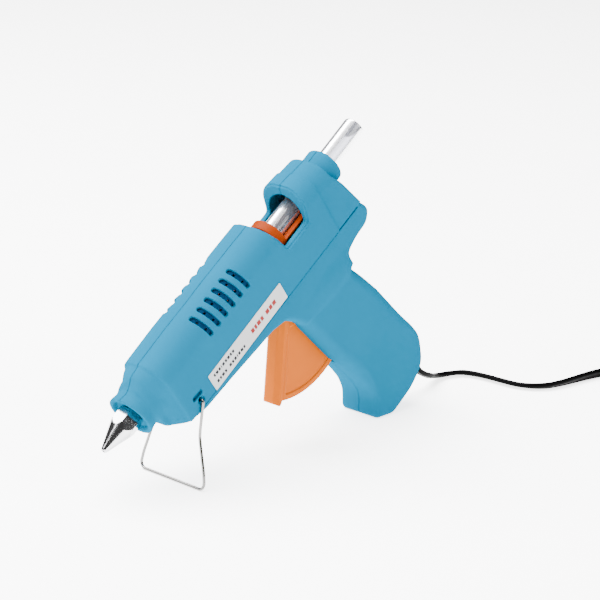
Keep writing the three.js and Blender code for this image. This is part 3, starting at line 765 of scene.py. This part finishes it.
def make_vent_floor(name, side):
    """The strip under the slots, with two round holes in each. Its darker blue is painted shade: the
    shell's own plastic, darkened to stand in for the shade down in the slots.
    """
    f = Field((49, 0.5, -2), (92, 14.5, 18), 0.28)
    if side < 0:
        f.y = -f.y[:, ::-1]
        f.axes[1] = -f.axes[1][::-1]
    along, height = on_shoulder(f)
    from_strip = abs(height + VENT_FLOOR)
    ends = np.maximum(abs(f.x - 70.2) - 19.5, abs(along - VENT_MIDDLE) - 9.2)
    body = np.maximum(from_strip - 0.35, ends)
    for k in range(VENT_COUNT):
        for at in (9.4, 15.9):
            hole = np.hypot(from_vent(f, along, k), along - at) - 0.8
            body = cut(body, np.maximum(hole, from_strip - 2))
    strip = field_piece(name, f.mesh(body), painted_shade_plastic)
    place(strip, "housing", "shell", "left_shell" if side < 0 else "right_shell")


def make_shell(name, side):
    """One half of the housing: -1 is the left one, 1 the right one."""
    voxel = 0.5
    y_range = (-17, 1.6) if side < 0 else (-1.6, 17)
    low, high = (-2, y_range[0], -148), (176, y_range[1], 20)
    flank = (-15.4, -12.6) if side < 0 else (12.6, 15.4)
    finer = [(1, -1.6 if side < 0 else -0.6, 0.6 if side < 0 else 1.6, voxel / 2.5),
             (1, *flank, voxel / 2), (0, 50.5, 90.5, voxel * 0.6), (2, 2, 18, voxel * 0.6),
             (2, -24.5, -10.5, voxel * 0.6)]
    f = Field(low, high, voxel, finer)
    outer = housing_form(f, 0.0, side)
    inner = housing_form(f, WALL, side)
    ring = np.hypot(f.y, f.z)
    liner = np.maximum(np.maximum(abs(f.x - 128.5) - 14, 10.9 - ring), -5 - f.z)
    hollow = np.maximum(cut(inner, liner), 24 - f.x)
    body = cut(outer, hollow)
    body = housing_cuts(f, body, outer, side)
    # a wall behind the muzzle's mouth, close round the nozzle
    body = union(body, np.maximum(abs(f.x - 4.9) - 0.9, np.maximum(5.0 - ring, ring - 11)))
    # the joint: each half ends a hair short of the middle, its edge very slightly rounded
    body = meet(body, 0.07 - f.y * side, 0.35)
    body = np.maximum(body, 0.02 + rest_z(f.x) - f.z)
    shell = field_piece(name, f.mesh(body), shell_plastic)
    place(shell, "housing", "shell", "left_shell" if side < 0 else "right_shell")


make_shell("left_housing", -1)
make_shell("right_housing", 1)
make_vent_floor("left_vent_floor", -1)
make_vent_floor("right_vent_floor", 1)


# ---------------------------------------------------------------- the trigger
WEB_R, WEB_HALF, BAR_HALF = 48.0, 3.6, 5.6


def make_trigger():
    """The finger bar on its web, the hub, and the fork that pushes the carriage."""
    px, pz = PIVOT
    f = Field((66, -8.5, -92), (126, 8.5, -6), 0.4)
    y = abs(f.y)
    away = np.hypot(f.x - px, f.z - pz)
    plate = sector(WEB_R, -137, -65)
    web = np.maximum(f.side(plate[:1] + [(98, -38.5)] + plate[1:]), y - WEB_HALF)
    # the flat of the web lies below a rim along its arc
    flat = np.maximum(f.side(sector(WEB_R - 3.2, -129.5, -60)), WEB_HALF - 0.55 - y)
    web = cut(web, np.maximum(flat, 9 - away), 0.4)
    bar_side = f.side(rounded([(101.5, -37), (98, -38.2, 2), (69.4, -72.6, 1), (70.8, -75.7, 1),
                               (75, -74.2, 1.5), (98.5, -46, 1), (101.5, -43)]))
    bar = pillow(bar_side, y - BAR_HALF, 0.5)
    # facets down the two front corners of the bar, and a groove between it and the web
    front = (f.x - 69.4) * 0.767 - (f.z + 72.6) * 0.642
    bar = np.maximum(bar, (y - 3.1 - front * 1.1) * 0.67)
    groove = np.maximum(abs(front - 5.2) - 0.9, WEB_HALF - 0.9 - y)
    lean = math.radians(14)
    along = (f.x - px) * math.sin(lean) + (f.z - pz) * math.cos(lean)
    across = (f.x - px) * math.cos(lean) - (f.z - pz) * math.sin(lean)
    fork = np.maximum(np.maximum(abs(across) - 4, abs(along - 15.1) - 15.1), y - 3)
    fork = cut(fork, np.maximum(abs(across) - 1.8, 25.5 - along), 0.3)
    body = union(union(web, bar, 0.5), np.maximum(away - 5.4, y - WEB_HALF), 0.4)
    body = cut(body, np.maximum(groove, 12 - away), 0.4)
    body = union(body, fork, 0.6)
    body = cut(body, away - 2.3)
    trigger = field_piece("trigger_lever", f.mesh(body), trigger_plastic)
    place(trigger, "trigger", "trigger", "trigger")


make_trigger()


# ---------------------------------------------------------------- the nozzle
def make_nozzle():
    """A six-sided cone: flats on the wide part run out into the cone as scallops."""
    def radius(x):
        return float(np.interp(x, (-19.6, -19.2, -18.9, -4.0, 3.0), (1.35, 1.62, 1.7, 6.75, 6.75)))

    sides = 96
    xs = list(np.arange(3.0, -4.0, -0.5)) + list(np.arange(-4.0, -18.9, -0.3))
    xs += [-19.0, -19.25, -19.45, -19.6]
    rings = []
    for x in xs:
        ring = []
        for k in range(sides):
            a = 2 * math.pi * k / sides
            folded = a % (math.pi / 3) - math.pi / 6
            flat = 5.85 / math.cos(folded)
            r = min(radius(x), flat)
            ring.append((x, r * math.cos(a), r * math.sin(a)))
        rings.append(ring)
    bore = [(-19.6, 0.95), (-19.1, 0.8), (-15.0, 0.8), (-6.0, 3.0), (13.0, 3.0)]
    back = [(13.0, 4.4), (3.6, 4.4), (3.0, 5.2)]
    for x, r in bore:
        rings.append([(x, r * math.cos(2 * math.pi * k / sides), r * math.sin(2 * math.pi * k / sides))
                      for k in range(sides)])
    for x, r in back:
        rings.append([(x, r * math.cos(2 * math.pi * k / sides), r * math.sin(2 * math.pi * k / sides))
                      for k in range(sides)])
    verts = [p for ring in rings for p in ring]
    count = len(rings)
    faces = []
    for k in range(count):
        n = (k + 1) % count
        for i in range(sides):
            j = (i + 1) % sides
            faces.append((k * sides + j, k * sides + i, n * sides + i, n * sides + j))
    piece = new_piece("nozzle_tip", gun(verts), faces, nickel)
    sharpen(piece, 14)
    place(piece, "housing", "nickel", "nozzle")


make_nozzle()


# ---------------------------------------------------------------- the wire stand
STAND_FOOT = (1.1, -48.96)
STAND_WIDE = 21.4  # half its width at the foot
WIRE_R = 0.75


def make_stand():
    """One bent wire: from the right pivot hole down, across the foot and up to the left one."""
    sx, sz = STAND_AT
    fx, fz = STAND_FOOT

    def leg(t, y):
        """A point a share of the way from the pivot to the foot."""
        return (sx + (fx - sx) * t, y, sz + (fz - sz) * t)

    half = [(sx, 9.6, sz), (sx, 12.6, sz), (sx, HALF, sz), leg(0.012, 15.3), leg(0.05, 15.5),
            leg(0.17, 15.55), leg(0.25, 15.5), leg(0.34, 15.5), leg(0.44, 15.9), leg(0.62, 18.1),
            leg(0.80, 20.4), leg(0.88, STAND_WIDE - 0.3), leg(0.93, STAND_WIDE),
            leg(0.97, STAND_WIDE - 0.6), leg(0.993, STAND_WIDE - 1.9), leg(1.0, STAND_WIDE - 3.6),
            leg(1.0, 10)]
    line = half + [leg(1, 0)] + [(x, -y, z) for x, y, z in reversed(half)]
    path = smooth_path(line, 0.4)
    reach = np.array((fx - sx, 0, fz - sz))
    past = np.maximum((path - (sx, 0, sz)) @ reach / (reach @ reach) - 1, 0)
    path = path - past[:, None] * reach  # the corners stay level with the foot
    sides = 14
    ring = [(WIRE_R * math.cos(2 * math.pi * k / sides), WIRE_R * math.sin(2 * math.pi * k / sides))
            for k in range(sides)]
    normal = np.cross((fx - sx, 0, fz - sz), (0, 1, 0))
    verts, faces = sweep(path, np.tile(normal, (len(path), 1)), ring)
    piece = new_piece("stand_wire_bent", gun(verts), faces, stand_steel)
    sharpen(piece, 50)
    place(piece, "stand", "stand_wire", "wire_stand")


make_stand()


# ---------------------------------------------------------------- glue stick and feed
STICK_R, STICK_FRONT, STICK_BACK = 5.6, 34.0, 197.3


def make_stick():
    """A plain round stick, its back end slightly hollow as cut."""
    profile = [(STICK_FRONT, 0.01), (STICK_FRONT, STICK_R - 0.4), (STICK_FRONT + 0.4, STICK_R)]
    profile += [(x, STICK_R) for x in np.arange(40, STICK_BACK - 1, 4)]
    profile += [(STICK_BACK - 0.5, STICK_R), (STICK_BACK - 0.15, STICK_R - 0.16),
                (STICK_BACK, STICK_R - 0.5), (STICK_BACK - 0.25, 2.5), (STICK_BACK - 0.3, 0.01)]
    verts, faces = lathe(profile, 64)
    piece = new_piece("glue_stick_clear", gun(verts), faces, glue_clear)
    sharpen(piece, 35)
    place(piece, "stick", "glue", "glue_stick")


def make_carriage():
    """The feed: a waisted collar round the stick, a cradle behind it and two lugs below."""
    f = Field((100, -11, -17), (150, 11, 11), 0.3)
    y = abs(f.y)
    ring = np.hypot(f.y, f.z)
    collar = np.maximum(ring - 10.05, abs(f.x - 112.35) - 8.85)
    waist = np.maximum(9.0 - ring, abs(f.x - 110.5) - 5.5)
    collar = cut(collar, waist, 0.6)
    cradle = np.maximum(np.maximum(ring - 9.4, 6.5 - ring), np.maximum(abs(f.x - 134) - 14, f.z + 1.5))
    lug = np.maximum(np.maximum(abs(f.x - 114.1) - 4.5, abs(y - 4.9) - 1.5), abs(f.z + 11.75) - 3.75)
    body = union(union(collar, cradle, 0.6), lug, 0.6)
    body = cut(body, np.maximum(ring - 6.1, 0), 0.4)
    body = cut(body, np.hypot(f.x - 114.1, f.z + 12.5) - 1.8)
    body = cut(body, np.maximum(np.maximum(abs(f.x - 112) - 6.3, y - 2.8), abs(f.z + 6) - 2))
    piece = field_piece("feed_slider", f.mesh(body), feed_plastic)
    place(piece, "carriage", "feed", "feed_carriage")


def glue_material():
    """Waxy and half clear."""
    n = Nodes("glue_clear")
    n.set(Base_Color=drift(n, (0.40, 0.41, 0.46), 60.0, 0.04))
    n.set(Transmission_Weight=0.85, IOR=1.48, Roughness=n.spread(n.noise(180.0), 0.14, 0.2))
    n.bump(n.noise(90.0, 1.0), 0.00001)
    return n.material


glue_clear = glue_material()
make_stick()
make_carriage()


# ---------------------------------------------------------------- the rating label
def make_label():
    """The sheet, let into its panel on the left half."""
    x0, x1, z0, z1 = LABEL
    y_back, y_front = -HALF + 0.2, -HALF - 0.06
    corner = rounded([(x0, z0, 0.5), (x1, z0, 0.5), (x1, z1, 0.5), (x0, z1, 0.5)], 3)
    verts = [(x, y, z) for y in (y_back, y_front) for x, z in corner]
    count = len(corner)
    faces = [tuple(range(count)), tuple(reversed(range(count, 2 * count)))]
    for i in range(count):
        j = (i + 1) % count
        faces.append((i, i + count, j + count, j))
    piece = new_piece("label_sheet", gun(verts), faces, label_paper, smooth=False)
    place(piece, "housing", "label", "rating_label")


def make_label_print():
    """Generic print in place of the real label's words: three rows of plain dashes."""
    x0, _, z0, z1 = LABEL
    middle_z = (z0 + z1) / 2
    # name, ink, start, middle, height, and the dashes' widths, where 0 is a space
    lines = (("label_heading", heading_ink, x0 + 33.5, middle_z, 2.6,
              (2.2, 1.6, 2.4, 1.9, 0, 2.4, 2.1, 2.4)),
             ("label_line_1", label_ink, x0 + 3.0, middle_z + 2.3, 1.7,
              (1.1, 1.6, 1.3, 0.5, 1.6, 1.3, 1.6, 1.2, 1.4)),
             ("label_line_2", label_ink, x0 + 3.0, middle_z - 2.0, 1.7,
              (1.5, 1.2, 1.8, 1.3, 0, 1.6, 1.3, 1.5, 0.6, 1.4, 1.7, 1.2)))
    for name, ink, start, z, tall, widths in lines:
        verts, faces = [], []
        x = start
        for wide in widths:
            if wide:
                for y in (-HALF - 0.05, -HALF - 0.085):
                    verts += [(x, y, z - tall / 2), (x + wide, y, z - tall / 2),
                              (x + wide, y, z + tall / 2), (x, y, z + tall / 2)]
                b = len(verts) - 8
                faces += [(b, b + 3, b + 2, b + 1), (b + 4, b + 5, b + 6, b + 7)]
                faces += [(b + k, b + (k + 1) % 4, b + 4 + (k + 1) % 4, b + 4 + k) for k in range(4)]
            x += (wide or 1.2) + 0.65
        line = new_piece(name, gun(verts), faces, ink, smooth=False)
        place(line, "housing", "label", "rating_label")


make_label()
make_label_print()

# ---------------------------------------------------------------- light and floor


LIT_POINT = (0.03, -0.02, 0.08)  # what every light faces


def add_light(name, at, size, power):
    """A white square or oblong soft box."""
    data = bpy.data.lights.new(name, "AREA")
    data.shape = "RECTANGLE"
    data.size, data.size_y = size
    data.energy = power
    light = bpy.data.objects.new(name, data)
    light.location = at
    light.rotation_euler = (Vector(LIT_POINT) - Vector(at)).to_track_quat("-Z", "Y").to_euler()
    bpy.context.scene.collection.objects.link(light)


FLOOR_GLOW = 3.2  # the floor is a lit table, as for a catalogue picture


def make_floor():
    """A wide white table that glows evenly."""
    n = Nodes("floor_white")
    patches = n.spread(n.noise(3.0), 0.0, 1.0)
    n.set(Base_Color=n.mix(patches, (0.90, 0.90, 0.90, 1), (0.93, 0.93, 0.93, 1)))
    n.set(Roughness=0.9, Specular_IOR_Level=0.1, Emission_Strength=FLOOR_GLOW)
    n.set(Emission_Color=(1.0, 1.0, 1.0, 1.0))
    half = 3.0
    floor = new_piece("floor", [(-half, -half, 0), (half, -half, 0), (half, half, 0), (-half, half, 0)],
                      [(0, 1, 2, 3)], n.material)


def make_sky():
    """A dim even sky; nearly all the light comes from the soft boxes and the table."""
    world = bpy.data.worlds.new("soft_sky")
    world.use_nodes = True
    background = world.node_tree.nodes["Background"]
    background.inputs["Color"].default_value = (1.0, 1.0, 1.0, 1.0)
    background.inputs["Strength"].default_value = 0.08
    bpy.context.scene.world = world


make_floor()
make_sky()
add_light("overhead", (-0.35, 0.45, 1.6), (2.0, 2.0), 280)
add_light("left_card", (-1.3, 0.3, 0.55), (0.7, 0.5), 9)
add_light("side", (0.7, -1.5, 1.1), (1.0, 1.0), 26)
